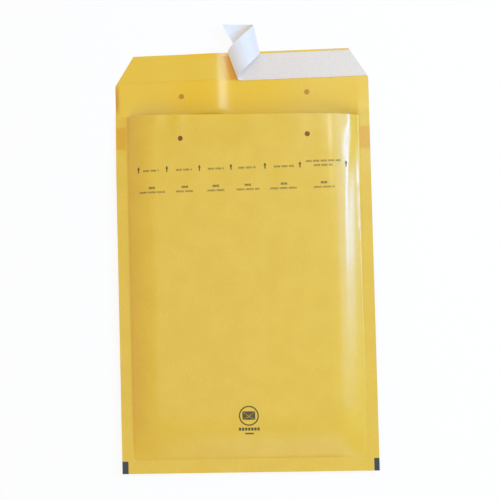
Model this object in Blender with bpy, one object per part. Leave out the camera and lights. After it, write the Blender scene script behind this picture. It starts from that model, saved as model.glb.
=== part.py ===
"""Padded envelope of golden kraft paper, lined with bubble film, lying open on its back.

Metres, +Z up, +X across the envelope, +Y from the bottom fold towards the flap. The
origin is the middle of the pocket's back, on the surface that the envelope lies on.

The paper is one web: the front runs down to the fold at the bottom, the back runs up from
it, and the flap carries on past the front's free edge. The sides are sealed together. The
bubble film is a second, slightly smaller pocket inside. The release strip covers a band of
adhesive on the flap, and its left end is peeled back into a curl.
"""

import math

import bmesh
import bpy

# Outer size of the paper
WIDTH = 0.198
LENGTH = 0.275
FLAP = 0.0502
PAPER = 0.0003
GAP = 0.0003

# Sealed sides, pressed band over the bottom fold, and the flap's cut corners
SEAM = 0.009
SEAM_HEIGHT = 0.0044
BAND = 0.010
FOLD = 0.0004
CHAMFER_X = 0.0148
CHAMFER_Y = 0.0230

# How the padding fills the pocket: rise of the front, and the width of its rounded edges
FRONT_RISE = 0.0092
FRONT_SIDE_RUN = 0.024
FRONT_FOOT_RUN = 0.040
BACK_SIDE_RUN = 0.014
BACK_FOOT_RUN = 0.014
LIP_SLOPE = 0.030
LIP_DROP = 0.14

# The flap settles from the pocket's side seams down to the table, with one soft ridge
FLAP_SETTLE = 0.034
FLAP_SPREAD = 0.060
FLAP_SPREAD_RUN = 0.014
RIDGE_X = -0.009
RIDGE_WIDTH = 0.018
RIDGE_HEIGHT = 0.0011

# Clasp holes: one pair in the flap, one in the front, equally far from the flap's fold
HOLE = 0.004
HOLE_SPACING = 0.098
HOLE_SHIFT = 0.0022
HOLE_FROM_FOLD = 0.01715
HOLE_SIDES = 20
PUNCH_DEPTH = 0.00015

# Bubble film: two layers that face each other with their flat sides
FILM = 0.0003
FILM_CLEARANCE = 0.0004
BUBBLE = 0.0100
BUBBLE_HEIGHT = 0.0030
BUBBLE_PITCH = 0.0125
BUBBLE_MARGIN = 0.019
BUBBLE_ROWS = 4
BUBBLE_SIDES = 8
BUBBLE_SINK = 0.0001
LINER_BELOW_LIP = 0.009
LINER_ROOM = 0.31
LINER_FOOT = 0.0041
LINER_WELD = 0.0018
LINER_SLIT = 0.00015
PAD_STEP = 0.003

# Adhesive band and the release strip over it, cut off with the flap's corners
STRIP_WIDTH = 0.0205
STRIP_BELOW_TOP = 0.0016
STRIP_THICK = 0.00022
GLUE = 0.00018
GLUE_INSET = 0.0012

# The peeled end of the strip: where it leaves the flap, and the arcs of its section as
# (radius, turn in degrees). The curl's axis leans away from the envelope's length and
# twists on towards the free end, which is cut a little askew, and the curl widens upwards.
PEEL_X = 0.0019
CURL_ARCS = ((0.0034, 110.0), (0.0099, 61.0), (0.0138, 61.0), (0.0021, 126.0), (0.0247, 31.0))
CURL_LEAN = 16.6
CURL_TWIST = 7.9
CURL_WIDENING = 10.0
END_CUT = 0.0020
ARC_STEP = 14.0

# Register marks printed over the ends of the bottom fold
MARK_WIDTH = 0.004
MARK_HEIGHT = 0.009

HALF_W = WIDTH / 2
HALF_L = LENGTH / 2
SEAM_IN = HALF_W - SEAM
BAND_TOP = BAND - HALF_L
FLAP_TOP = HALF_L + FLAP
LINER_TOP = HALF_L - LINER_BELOW_LIP
STRIP_TOP = FLAP_TOP - STRIP_BELOW_TOP
STRIP_LOW = STRIP_TOP - STRIP_WIDTH
ROW_PITCH = BUBBLE_PITCH * math.sqrt(0.75)
PAD_TOP = LINER_TOP - BUBBLE_ROWS * ROW_PITCH - 0.001
RAMP_STOPS = (0.12, 0.26, 0.42, 0.60, 0.80, 1.0)


def clamp(value, low=0.0, high=1.0):
    """Keep a value between two limits."""
    return max(low, min(high, value))


def ease(value):
    """Smooth step from 0 to 1."""
    value = clamp(value)
    return value * value * (3.0 - 2.0 * value)


def swell(distance, run):
    """Rise of padded paper from a sealed line: steep at the line, level after the run."""
    return 1.0 - (1.0 - clamp(distance / run)) ** 2


def inverse_swell(height, run):
    """Distance from the sealed line at which swell reaches a height."""
    return run * (1.0 - math.sqrt(1.0 - clamp(height)))


def steps(start, stop, count):
    """Evenly spaced values from start to stop, both included."""
    return [start + (stop - start) * i / count for i in range(count + 1)]


def mirrored(stops):
    """Stops on both sides of the middle, in rising order, from those on one side."""
    return sorted({-s for s in stops} | set(stops))


# Heights of the sheets, as functions of the place in plan


def front_outer(x, y):
    """Outer face of the front."""
    side = swell(SEAM_IN - abs(x), FRONT_SIDE_RUN)
    foot = swell(y - BAND_TOP, FRONT_FOOT_RUN)
    lip = 1.0 - LIP_DROP * ease((y - HALF_L + LIP_SLOPE) / LIP_SLOPE)
    return SEAM_HEIGHT + PAPER + FRONT_RISE * side * foot * lip


def front_inner(x, y):
    """Inner face of the front."""
    return front_outer(x, y) - PAPER


def back_outer(x, y):
    """Outer face of the back, and the flap's underside past the fold line."""
    spread = FLAP_SPREAD * ease((y - HALF_L) / FLAP_SPREAD_RUN)
    side = swell(SEAM_IN - abs(x), BACK_SIDE_RUN + spread)
    foot = swell(y - BAND_TOP, BACK_FOOT_RUN)
    settled = ease((y - HALF_L) / FLAP_SETTLE)
    ridge = settled * math.exp(-(((x - RIDGE_X) / RIDGE_WIDTH) ** 2))
    seam_drop = (SEAM_HEIGHT - PAPER) * (1.0 - side * foot) * (1.0 - settled)
    return seam_drop + RIDGE_HEIGHT * ridge


def back_inner(x, y):
    """Inner face of the back, and the flap's upper face past the fold line."""
    return back_outer(x, y) + PAPER


def liner_ceiling(x, y):
    """Flat face of the liner's front layer, towards the contents."""
    padded = front_inner(x, y) - FILM_CLEARANCE - FILM - BUBBLE_HEIGHT
    return max(SEAM_HEIGHT + LINER_SLIT, padded)


def liner_floor(x, y):
    """Flat face of the liner's back layer, towards the contents."""
    padded = back_inner(x, y) + FILM_CLEARANCE + FILM + BUBBLE_HEIGHT
    return min(SEAM_HEIGHT - LINER_SLIT, padded)


def padding(y):
    """Share of the bubbles' height that is filled: none at the open rows of the mouth."""
    return ease((PAD_TOP - y) / PAD_STEP)


def liner_over(x, y):
    """Face of the liner's front layer towards the paper."""
    room = front_inner(x, y) - FILM_CLEARANCE - FILM - liner_ceiling(x, y)
    return liner_ceiling(x, y) + FILM + room * padding(y)


def liner_under(x, y):
    """Face of the liner's back layer towards the paper."""
    room = liner_floor(x, y) - FILM - FILM_CLEARANCE - back_inner(x, y)
    return liner_floor(x, y) - FILM - room * padding(y)


# Half widths of the sheets along the length


def paper_half(y):
    """Half the paper's width: full, then drawn in by the flap's cut corners."""
    return HALF_W - CHAMFER_X * clamp((y - FLAP_TOP + CHAMFER_Y) / CHAMFER_Y)


def liner_half(y):
    """Half the liner's width, which rounds its lower corners inside the paper's pillow."""
    foot = swell(y - BAND_TOP, BACK_FOOT_RUN)
    return SEAM_IN - inverse_swell(LINER_ROOM / foot, BACK_SIDE_RUN)


# Mesh tools


def new_object(name, bm):
    """Put a finished bmesh into the scene as a named object."""
    mesh = bpy.data.meshes.new(name)
    bm.to_mesh(mesh)
    bm.free()
    obj = bpy.data.objects.new(name, mesh)
    bpy.context.collection.objects.link(obj)
    return obj


def loft(name, sections):
    """Bridge closed sections of equal count into a closed solid with capped ends."""
    bm = bmesh.new()
    rings = [[bm.verts.new(point) for point in section] for section in sections]
    for lower, upper in zip(rings, rings[1:]):
        for i, corner in enumerate(lower):
            bm.faces.new((corner, upper[i], upper[i - 1], lower[i - 1]))
    bm.faces.new(rings[0])
    bm.faces.new(rings[-1][::-1])
    bmesh.ops.remove_doubles(bm, verts=bm.verts, dist=1e-6)
    bmesh.ops.dissolve_degenerate(bm, edges=bm.edges, dist=1e-6)
    bmesh.ops.recalc_face_normals(bm, faces=bm.faces)
    return new_object(name, bm)


def section(columns, y, under, over, half):
    """Closed section across the envelope at y: the lower face rightwards, the upper back."""
    reach = half(y) / columns[-1]
    across = [x * reach for x in columns]
    lower = [(x, y, under(x, y)) for x in across]
    upper = [(x, y, over(x, y)) for x in reversed(across)]
    return lower + upper


def modify(obj, kind, **settings):
    """Add a modifier and set its values."""
    modifier = obj.modifiers.new(kind.title(), kind)
    for key, value in settings.items():
        setattr(modifier, key, value)
    return modifier


def boolean(obj, tool, operation):
    """Cut a tool from an object, or join it on, and take the tool away."""
    modify(obj, "BOOLEAN", object=tool, operation=operation, solver="EXACT")
    evaluated = obj.evaluated_get(bpy.context.evaluated_depsgraph_get())
    mesh = bpy.data.meshes.new_from_object(evaluated)
    obj.modifiers.clear()
    obj.data = mesh
    bpy.data.objects.remove(tool)


def material(name, colour, roughness, metallic=0.0, alpha=1.0):
    """A Principled BSDF with its plain values."""
    finish = bpy.data.materials.new(name)
    finish.use_nodes = True
    finish.diffuse_color = (*colour, 1.0)
    shader = finish.node_tree.nodes["Principled BSDF"]
    shader.inputs["Base Color"].default_value = (*colour, 1.0)
    shader.inputs["Roughness"].default_value = roughness
    shader.inputs["Metallic"].default_value = metallic
    shader.inputs["Alpha"].default_value = alpha
    return finish


def smooth(obj, angle):
    """Shade smooth, with edges sharper than an angle kept sharp."""
    obj.data.shade_smooth()
    obj.data.set_sharp_from_angle(angle=math.radians(angle))


def punch(low, high, y):
    """The two clasp punches at a distance up the sheet, as one tool between two heights."""
    bm = bmesh.new()
    for side in (-0.5, 0.5):
        made = bmesh.ops.create_cone(
            bm, cap_ends=True, segments=HOLE_SIDES, radius1=HOLE / 2, radius2=HOLE / 2,
            depth=high - low,
        )
        middle = (HOLE_SHIFT + side * HOLE_SPACING, y, (low + high) / 2)
        bmesh.ops.translate(bm, verts=made["verts"], vec=middle)
    return new_object("punch", bm)


# Rows and columns that the sheets share


def paper_columns():
    """Stops across the paper: its level middle, the rounded shoulder, the sealed side."""
    level = steps(0.0, SEAM_IN - FRONT_SIDE_RUN, 6)
    shoulder = [SEAM_IN - FRONT_SIDE_RUN * stop for stop in RAMP_STOPS[:-1]]
    return mirrored(level + shoulder + [SEAM_IN, HALF_W - MARK_WIDTH, HALF_W])


def pocket_rows(top):
    """Stops up the padded pocket, from the top of the pressed band."""
    rounded = [BAND_TOP + FRONT_FOOT_RUN * stop for stop in RAMP_STOPS]
    level = steps(rounded[-1], PAD_TOP - PAD_STEP, 6)[1:]
    mouth = steps(PAD_TOP, LINER_TOP - PAD_STEP, 6)
    return rounded + level + mouth + steps(LINER_TOP - PAD_STEP, top, 4)[1:]


def flap_rows():
    """Stops up the flap, from just past the fold line."""
    cut = FLAP_TOP - CHAMFER_Y
    return steps(HALF_L, cut, 4)[1:] + steps(cut, FLAP_TOP, 4)[1:]


# The pieces


def kraft_sheet():
    """Front, back and flap as one folded sheet, hollow between its sealed sides."""
    columns = paper_columns()
    band = [-HALF_L + FOLD, -HALF_L + MARK_HEIGHT, BAND_TOP]
    rows = band + pocket_rows(HALF_L)
    fold_low = SEAM_HEIGHT - PAPER / 3
    fold_high = SEAM_HEIGHT + PAPER / 3
    sections = [section(columns, -HALF_L, lambda x, y: fold_low, lambda x, y: fold_high, paper_half)]
    sections += [section(columns, y, back_outer, front_outer, paper_half) for y in rows]
    sections.append(section(columns, HALF_L, back_outer, back_inner, paper_half))
    sections += [section(columns, y, back_outer, back_inner, paper_half) for y in flap_rows()]
    sheet = loft("kraft_sheet", sections)

    inside = [x for x in columns if abs(x) <= SEAM_IN]
    hollow = [section(inside, y, back_inner, front_inner, lambda y: SEAM_IN)
              for y in [BAND_TOP + FOLD] + pocket_rows(HALF_L)]
    clear = [(x, y + PAPER * 10, z + PAPER) for x, y, z in hollow[-1]]
    boolean(sheet, loft("hollow", hollow + [clear]), "DIFFERENCE")

    front_hole = HALF_L - HOLE_FROM_FOLD
    boolean(sheet, punch(SEAM_HEIGHT + LINER_SLIT, 2 * FRONT_RISE, front_hole), "DIFFERENCE")
    flap_hole = HALF_L + HOLE_FROM_FOLD
    disc = back_inner(HOLE_SHIFT + HOLE_SPACING / 2, flap_hole) - PUNCH_DEPTH
    boolean(sheet, punch(disc, disc + SEAM_HEIGHT, flap_hole), "DIFFERENCE")

    sheet.data.materials.clear()
    sheet.data.materials.append(material("golden_kraft", (0.742, 0.520, 0.100), 0.42))
    sheet.data.materials.append(material("mark_ink", (0.055, 0.082, 0.105), 0.5))
    for face in sheet.data.polygons:
        x, y, _ = face.center
        marked = abs(x) > HALF_W - MARK_WIDTH and y < -HALF_L + MARK_HEIGHT
        face.material_index = 1 if marked else 0
    smooth(sheet, 32.0)
    return sheet


def bubble(bm, x, y, base, height):
    """One closed bubble on a film at height base, bulging up, or down if height is negative."""
    radius = BUBBLE / 2
    sink = math.copysign(BUBBLE_SINK, height)
    shape = ((radius, -sink), (radius * 0.96, height * 0.55), (radius * 0.66, height))
    rings = []
    for r, rise in shape:
        ring = bmesh.ops.create_circle(bm, cap_ends=False, segments=BUBBLE_SIDES, radius=r)["verts"]
        bmesh.ops.translate(bm, verts=ring, vec=(x, y, base + rise))
        rings.append(ring)
    for lower, upper in zip(rings, rings[1:]):
        for i, corner in enumerate(lower):
            bm.faces.new((corner, upper[i], upper[i - 1], lower[i - 1]))
    bm.faces.new(rings[0])
    bm.faces.new(rings[-1][::-1])


def bubble_rows():
    """Bubbles of the rows at the mouth, on the paper's side of both layers, as one tool."""
    bm = bmesh.new()
    reach = SEAM_IN - BUBBLE_MARGIN
    for row in range(BUBBLE_ROWS):
        y = LINER_TOP - BUBBLE / 2 - 0.001 - row * ROW_PITCH
        shift = 0.5 * (row % 2)
        count = int((reach - BUBBLE / 2) / BUBBLE_PITCH - shift)
        for k in range(-count, count + 1 + row % 2):
            x = (k - shift) * BUBBLE_PITCH
            bubble(bm, x, y, liner_over(x, y), BUBBLE_HEIGHT)
            bubble(bm, x, y, liner_under(x, y), -BUBBLE_HEIGHT)
    bmesh.ops.recalc_face_normals(bm, faces=bm.faces)
    return new_object("bubbles", bm)


def bubble_liner():
    """Bubble film folded into a pocket: open bubbles in sight at the mouth, padded below."""
    level = steps(0.0, SEAM_IN - FRONT_SIDE_RUN, 4)
    shoulder = [SEAM_IN - FRONT_SIDE_RUN * stop for stop in RAMP_STOPS[1:-1]]
    edge = liner_half(HALF_L)
    weld = edge - LINER_WELD
    inner = mirrored([x for x in level + shoulder if x < weld - LINER_WELD] + [weld])
    outer = mirrored(inner + [edge])
    foot = BAND_TOP + LINER_FOOT
    rows = [foot] + [y for y in pocket_rows(LINER_TOP) if y > foot + LINER_WELD and y <= LINER_TOP]
    pad = loft("bubble_liner", [section(outer, y, liner_under, liner_over, liner_half) for y in rows])

    hollow = [section(inner, max(y, foot + LINER_WELD), liner_floor, liner_ceiling,
                      lambda y: liner_half(y) - LINER_WELD) for y in rows]
    clear = [(x, y + GAP * 10, z) for x, y, z in hollow[-1]]
    boolean(pad, loft("hollow", hollow + [clear]), "DIFFERENCE")
    boolean(pad, bubble_rows(), "UNION")
    front_hole = HALF_L - HOLE_FROM_FOLD
    boolean(pad, punch(SEAM_HEIGHT + LINER_SLIT, 2 * FRONT_RISE, front_hole), "DIFFERENCE")

    pad.data.materials.clear()
    pad.data.materials.append(material("bubble_film", (0.80, 0.82, 0.82), 0.18, alpha=0.6))
    smooth(pad, 35.0)
    return pad


def sheet_grid(name, rows):
    """Open sheet through rows of points, with its faces towards the left of the rows' order."""
    bm = bmesh.new()
    grid = [[bm.verts.new(point) for point in row] for row in rows]
    for lower, upper in zip(grid, grid[1:]):
        for i in range(len(lower) - 1):
            bm.faces.new((lower[i], lower[i + 1], upper[i + 1], upper[i]))
    return new_object(name, bm)


def flap_point(x, y, lift):
    """Point at a height over the flap's upper face."""
    return (x, y, back_inner(x, y) + lift)


def adhesive_strip():
    """Band of pressure adhesive right across the flap."""
    low, high = STRIP_LOW + GLUE_INSET, STRIP_TOP - GLUE_INSET
    rows = []
    for y in steps(low, high, 3):
        reach = paper_half(y) - GLUE_INSET
        rows.append([flap_point(x, y, GAP) for x in steps(-reach, reach, 18)])
    glue = sheet_grid("adhesive_strip", rows)
    modify(glue, "SOLIDIFY", thickness=GLUE, offset=1.0)
    glue.data.materials.append(material("hot_melt_adhesive", (0.74, 0.50, 0.16), 0.12))
    smooth(glue, 35.0)
    return glue


def curl_stops():
    """Arc lengths along the curl at which its section has a point, arc by arc."""
    stops = [0.0]
    for radius, turn in CURL_ARCS:
        count = math.ceil(turn / ARC_STEP)
        stops += steps(stops[-1], stops[-1] + radius * math.radians(turn), count)[1:]
    return stops


def curl_at(length):
    """Way back along the strip and height of the curl's section at an arc length."""
    heading, along, height = 0.0, 0.0, 0.0
    for radius, turn in CURL_ARCS:
        angle = min(math.radians(turn), length / radius)
        along += radius * (math.sin(heading + angle) - math.sin(heading))
        height += radius * (math.cos(heading) - math.cos(heading + angle))
        heading += angle
        length -= radius * angle
    return along, height


def release_strip():
    """Release paper: flat from the right cut corner to the peel line, then rolled back."""
    lift = 2 * GAP + GLUE
    rooted = math.radians(CURL_LEAN)
    widths = steps(0.0, STRIP_WIDTH, 4)
    rows = []
    for share in steps(1.0, 0.0, 9):
        row = []
        for w in widths:
            y = STRIP_LOW + w
            start = PEEL_X - w * math.tan(rooted)
            row.append(flap_point(start + (paper_half(y) - start) * share, y, lift))
        rows.append(row)
    stops = curl_stops()
    tail = CURL_ARCS[-1][0] * math.radians(CURL_ARCS[-1][1])
    for stop in stops[1:]:
        lean = math.radians(CURL_LEAN + CURL_TWIST * stop / stops[-1])
        row = []
        for w in widths:
            cut = END_CUT * (1.0 - w / STRIP_WIDTH) * clamp(1.0 - (stops[-1] - stop) / tail)
            length = stop - cut
            axial = (w + length * math.sin(lean)) / math.cos(lean)
            along, height = (value * (1.0 + CURL_WIDENING * axial) for value in curl_at(length))
            x = PEEL_X - along * math.cos(lean) - axial * math.sin(lean)
            y = STRIP_LOW - along * math.sin(lean) + axial * math.cos(lean)
            base = back_inner(PEEL_X - w * math.tan(rooted), STRIP_LOW + w) + lift
            row.append((x, y, base + height))
        rows.append(row)
    strip = sheet_grid("release_strip", rows)
    modify(strip, "SOLIDIFY", thickness=STRIP_THICK, offset=1.0)
    strip.data.materials.append(material("release_paper", (0.84, 0.86, 0.88), 0.34))
    smooth(strip, 35.0)
    return strip


def main():
    """Clear the scene and build the envelope's four pieces."""
    for old in list(bpy.data.objects):
        bpy.data.objects.remove(old)
    kraft_sheet()
    bubble_liner()
    adhesive_strip()
    release_strip()


main()
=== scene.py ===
"""Looks of an open padded envelope: golden kraft paper, bubble film, adhesive, release paper.

Metres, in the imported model's frame: +X across the envelope, +Y from the bottom fold to the
flap, +Z up from the table. Each sub-assembly is a class that builds its meshes over the
model's own sizes and dresses them in a finish named after the real material.
"""

from __future__ import annotations

import logging
import math
from dataclasses import dataclass
from enum import Enum
from typing import Callable, Sequence

import bmesh
import bpy
from bmesh.types import BMesh
from bpy.types import Material, Mesh, Node, NodeSocket, NodeTree, Object
from mathutils import Matrix, Vector, noise


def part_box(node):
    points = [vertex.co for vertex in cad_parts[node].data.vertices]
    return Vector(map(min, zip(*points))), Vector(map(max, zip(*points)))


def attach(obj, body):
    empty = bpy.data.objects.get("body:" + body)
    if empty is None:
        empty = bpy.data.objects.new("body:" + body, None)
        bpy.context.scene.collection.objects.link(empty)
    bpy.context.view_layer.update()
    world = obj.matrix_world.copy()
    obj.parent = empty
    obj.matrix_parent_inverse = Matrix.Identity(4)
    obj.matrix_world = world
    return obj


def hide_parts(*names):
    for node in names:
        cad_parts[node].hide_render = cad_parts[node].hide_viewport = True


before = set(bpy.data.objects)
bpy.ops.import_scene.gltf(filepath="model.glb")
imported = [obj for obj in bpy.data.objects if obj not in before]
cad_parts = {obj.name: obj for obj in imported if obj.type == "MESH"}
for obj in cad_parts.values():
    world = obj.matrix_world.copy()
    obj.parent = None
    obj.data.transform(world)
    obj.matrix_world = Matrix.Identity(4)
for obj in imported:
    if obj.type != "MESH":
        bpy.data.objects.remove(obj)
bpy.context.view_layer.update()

LOG = logging.getLogger("padded_envelope")
MM = 0.001
BODY = "root"

Point = tuple[float, float, float]


def clamp(value: float, low: float = 0.0, high: float = 1.0) -> float:
    """Keep a value between two limits."""
    return max(low, min(high, value))


def ease(value: float) -> float:
    """Smooth step from 0 to 1."""
    value = clamp(value)
    return value * value * (3.0 - 2.0 * value)


def bell(distance: float, width: float) -> float:
    """Bell curve: 1 at no distance, about a third at the width."""
    return math.exp(-((distance / width) ** 2))


def swell(distance: float, run: float) -> float:
    """Rise of padded paper from a sealed line: steep at the line, level after the run."""
    return 1.0 - (1.0 - clamp(distance / run)) ** 2


def steps(start: float, stop: float, spacing: float) -> list[float]:
    """Evenly spaced values from start to stop.

    Args:
        start: First value.
        stop: Last value.
        spacing: Longest step between two values.

    Returns:
        The values, with both ends included.
    """
    count = max(1, math.ceil(abs(stop - start) / spacing))
    return [start + (stop - start) * i / count for i in range(count + 1)]


def route(*stretches: tuple[float, float, float]) -> list[float]:
    """Join stretches of evenly spaced values.

    Args:
        *stretches: Start, stop and longest step of each stretch.

    Returns:
        The values in order, with the value that two stretches share given once.
    """
    values: list[float] = []
    for start, stop, spacing in stretches:
        stretch = steps(start, stop, spacing)
        values += stretch if not values else stretch[1:]
    return values


def ripple(x: float, y: float, wave: float, seed: float) -> float:
    """Smooth noise over the plan, from about -1 to 1, with bumps about a wave long."""
    return noise.noise(Vector((x / wave, y / wave, seed)))


def linear(colour: str) -> tuple[float, float, float, float]:
    """Turn an sRGB hex colour into linear values.

    Args:
        colour: The colour, with a number sign and six digits.

    Returns:
        Its red, green and blue in linear values, and full alpha.
    """
    channels = [int(colour[i:i + 2], 16) / 255.0 for i in (1, 3, 5)]
    curve = [c / 12.92 if c <= 0.04045 else ((c + 0.055) / 1.055) ** 2.4 for c in channels]
    return (curve[0], curve[1], curve[2], 1.0)


# The form of the paper pocket


@dataclass(frozen=True)
class ShoulderFold:
    """A ridge that runs down the pocket's right shoulder.

    Attributes:
        line: Where across the envelope the ridge settles.
        start: How far off that line it starts at its top.
        run: Length over which it comes to the line.
        height: Height of the ridge.
        width: Half its width.
    """

    line: float
    start: float
    run: float
    height: float
    width: float

    def across(self, below: float) -> float:
        """Where across the envelope the ridge is, at a distance below its top."""
        return self.line + self.start * math.exp(-below / self.run)

    def rise(self, x: float, below: float) -> float:
        """Height of the ridge at a place across the envelope."""
        return self.height * bell(x - self.across(below), self.width)


@dataclass(frozen=True)
class PocketForm:
    """Heights and widths of the envelope's sheets over the table, as the solids have them.

    Attributes:
        low: Lowest corner of the paper's box.
        high: Highest corner of the paper's box.
        flap: Length of the flap past its fold line.
        seam: Width of the sealed sides.
        seam_height: Height of the line where front and back are sealed together.
        band: Height of the pressed band over the bottom fold.
        paper: Thickness that the solids give the paper.
        rise: How far the front swells above the sealed line.
        side_run: Width of the front's rounded sides.
        foot_run: Width of the front's rounded foot.
        back_run: Width of the back's rounded edges.
        lip_slope: Length of the slope down to the front's free edge.
        lip_drop: Share of the swell that is gone at the free edge.
        lip_skew: How far the free edge runs askew at the sides.
        sink: How far the sealed sides sink at the mouth.
        sink_run: Length over which they sink.
        settle: Length over which the flap comes down to the table.
        spread: How much wider the back's rounded edges are past the fold.
        spread_run: Length over which they widen.
        ridge_x: Where across the flap its soft ridge is.
        ridge_left: Width of the ridge's left flank.
        ridge_right: Width of its right flank, which is steeper.
        ridge_height: Height of the ridge.
        chamfer_x: Width of the flap's cut corners.
        chamfer_y: Length of the flap's cut corners.
        dents: Height, length and seed of each scale of soft dents in the front.
        buckle: Height, width and length of the front's long buckles.
        bubble_print: How far the bubbles below show through the paper.
        bubble_pitch: Distance between two bubbles.
        folds_below: How far below the free edge the shoulder's two ridges start.
        folds: The broad ridge and the thin one to its right.
        fold_step: Half the drop of the paper to the right of the broad ridge.
        lip_bumps: Place across, height and width of each bump of the free edge, in mm.
        lip_reach: How far down from the free edge its bumps reach.
        groove_depth: Depth of the crease round the pocket.
        bend: Width of the flap's left edge that is bent down.
    """

    low: Vector
    high: Vector
    flap: float = 50.2 * MM
    seam: float = 9.0 * MM
    seam_height: float = 4.4 * MM
    band: float = 10.0 * MM
    paper: float = 0.3 * MM
    rise: float = 9.2 * MM
    side_run: float = 24.0 * MM
    foot_run: float = 40.0 * MM
    back_run: float = 14.0 * MM
    lip_slope: float = 30.0 * MM
    lip_drop: float = 0.14
    lip_skew: float = 2.8 * MM
    sink: float = 2.4 * MM
    sink_run: float = 55.0 * MM
    settle: float = 34.0 * MM
    spread: float = 60.0 * MM
    spread_run: float = 14.0 * MM
    ridge_x: float = -20.4 * MM
    ridge_left: float = 24.0 * MM
    ridge_right: float = 8.0 * MM
    ridge_height: float = 1.6 * MM
    chamfer_x: float = 14.8 * MM
    chamfer_y: float = 23.0 * MM
    dents: tuple[tuple[float, float, float], ...] = (
        (0.20 * MM, 38.0 * MM, 2.0), (0.07 * MM, 15.0 * MM, 5.0))
    buckle: tuple[float, float, float] = (0.10 * MM, 8.0 * MM, 70.0 * MM)
    bubble_print: float = 0.015 * MM
    bubble_pitch: float = 11.5 * MM
    folds_below: float = 11.6 * MM
    folds: tuple[ShoulderFold, ShoulderFold] = (
        ShoulderFold(78.3 * MM, 9.1 * MM, 28.0 * MM, 0.30 * MM, 2.3 * MM),
        ShoulderFold(89.6 * MM, -2.2 * MM, 7.0 * MM, 0.26 * MM, 1.1 * MM))
    fold_step: float = 0.35 * MM
    lip_bumps: tuple[tuple[float, float, float], ...] = (
        (-65.0, 0.65, 5.5), (-48.0, 0.70, 5.0), (8.0, 0.50, 9.0), (38.0, 1.50, 24.0),
        (86.0, 3.00, 5.0))
    lip_reach: float = 15.0 * MM
    groove_depth: float = 0.34 * MM
    bend: float = 4.6 * MM

    @property
    def half_w(self) -> float:
        """Half the paper's width."""
        return self.high.x

    @property
    def foot(self) -> float:
        """Where the bottom fold is."""
        return self.low.y

    @property
    def top(self) -> float:
        """Where the flap ends."""
        return self.high.y

    @property
    def fold(self) -> float:
        """The flap's fold line, level with the front's free edge."""
        return self.high.y - self.flap

    @property
    def seam_in(self) -> float:
        """Inner edge of the sealed sides."""
        return self.half_w - self.seam

    def seam_level(self, y: float) -> float:
        """Height of the sealed sides, which sink towards the mouth as the flap lies flat."""
        return self.seam_height - self.sink * ease((y - self.fold + self.sink_run) / self.sink_run)

    def middle(self, x: float, y: float) -> float:
        """Height between the two layers: the sealed line at the sides, level inside."""
        inward = swell(self.seam_in - abs(x), 20 * MM)
        return self.seam_height - (self.seam_height - self.seam_level(y)) * (1.0 - inward)

    def half_width(self, y: float) -> float:
        """Half the paper's width at y: full, then drawn in by the flap's cut corners."""
        past = clamp((y - self.top + self.chamfer_y) / self.chamfer_y)
        return self.half_w - self.chamfer_x * past

    def fullness(self, x: float, y: float, side_run: float, foot_run: float) -> float:
        """Share of its full swell that a sheet has at a place, 0 at a sealed line."""
        side = swell(self.seam_in - abs(x), side_run)
        return side * swell(y - self.foot - self.band, foot_run)

    def creases(self, x: float, y: float) -> float:
        """Small unevenness of the padded front: soft dents, long buckles, faint bubbles.

        Args:
            x: Place across the envelope.
            y: Place along it.

        Returns:
            How far the paper is off its smooth form.
        """
        dents = sum(tall * ripple(x, y, wave, seed) for tall, wave, seed in self.dents)
        tall, wide, long = self.buckle
        buckle = tall * noise.noise(Vector((x / wide, y / long, 9.0)))
        turn = 2 * math.pi / self.bubble_pitch
        bubbles = self.bubble_print * math.cos(turn * x) * math.cos(turn * y)
        return self.fullness(x, y, self.side_run, self.foot_run) * (dents + buckle + bubbles)

    def shoulder_folds(self, x: float, y: float) -> float:
        """A broad and a thin ridge down the right shoulder, from one point under the lip.

        Args:
            x: Place across the envelope.
            y: Place along it.

        Returns:
            Height of both ridges, less the drop to the right of the broad one.
        """
        down = self.fold - self.folds_below - y
        below = max(down, 0.0)
        broad, thin = self.folds
        past = math.tanh((x - broad.across(below) + 0.8 * MM) / (4.0 * MM))
        step = self.fold_step * (past + 1.0)
        start = ease(down / (5 * MM) + 0.6)
        fading = math.exp(-below / (160 * MM))
        return start * fading * (broad.rise(x, below) - step + thin.rise(x, below))

    def lip_waves(self, x: float, y: float) -> float:
        """Unevenness of the front's free edge, gone a little way below it.

        Args:
            x: Place across the envelope.
            y: Place along it.

        Returns:
            How far the paper is off its smooth form.
        """
        near = bell(self.fold - y, self.lip_reach)
        wave = sum(tall * bell(x - at * MM, wide * MM) for at, tall, wide in self.lip_bumps)
        return MM * near * (wave + 0.25 * ripple(x, y, 24 * MM, 7.0))

    def groove(self, x: float, y: float) -> float:
        """Crease that runs round the pocket where its paper leaves the seals.

        Args:
            x: Place across the envelope.
            y: Place along it.

        Returns:
            Depth of the crease, a little uneven along its run.
        """
        line = self.foot + self.band + 0.5 * MM
        foot = bell(y - line, 1.0 * MM) * (0.8 + 0.5 * ripple(x, y, 22 * MM, 31.0))
        side = bell(abs(x) - self.seam_in + 0.6 * MM, 0.9 * MM)
        side *= 0.55 + 0.7 * ripple(x, y, 9 * MM, 33.0)
        inside = clamp((self.seam_in + 1 * MM - abs(x)) / (2 * MM))
        above = clamp((y - line + 1 * MM) / (2 * MM))
        return self.groove_depth * (max(foot, 0.0) * inside + max(side, 0.0) * above)

    def front(self, x: float, y: float) -> float:
        """Height of the middle of the front's paper.

        Args:
            x: Place across the envelope.
            y: Place along it.

        Returns:
            The height over the table.
        """
        full = self.fullness(x, y, self.side_run, self.foot_run)
        lip = 1.0 - self.lip_drop * ease((y - self.fold + self.lip_slope) / self.lip_slope)
        level = self.seam_level(y) + self.paper / 2
        level += (self.rise * lip + self.seam_height - self.seam_level(y)) * full
        uneven = self.creases(x, y) + self.shoulder_folds(x, y) * min(1.0, full * 6.0)
        return level + uneven + self.lip_waves(x, y) * full - self.groove(x, y)

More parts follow.
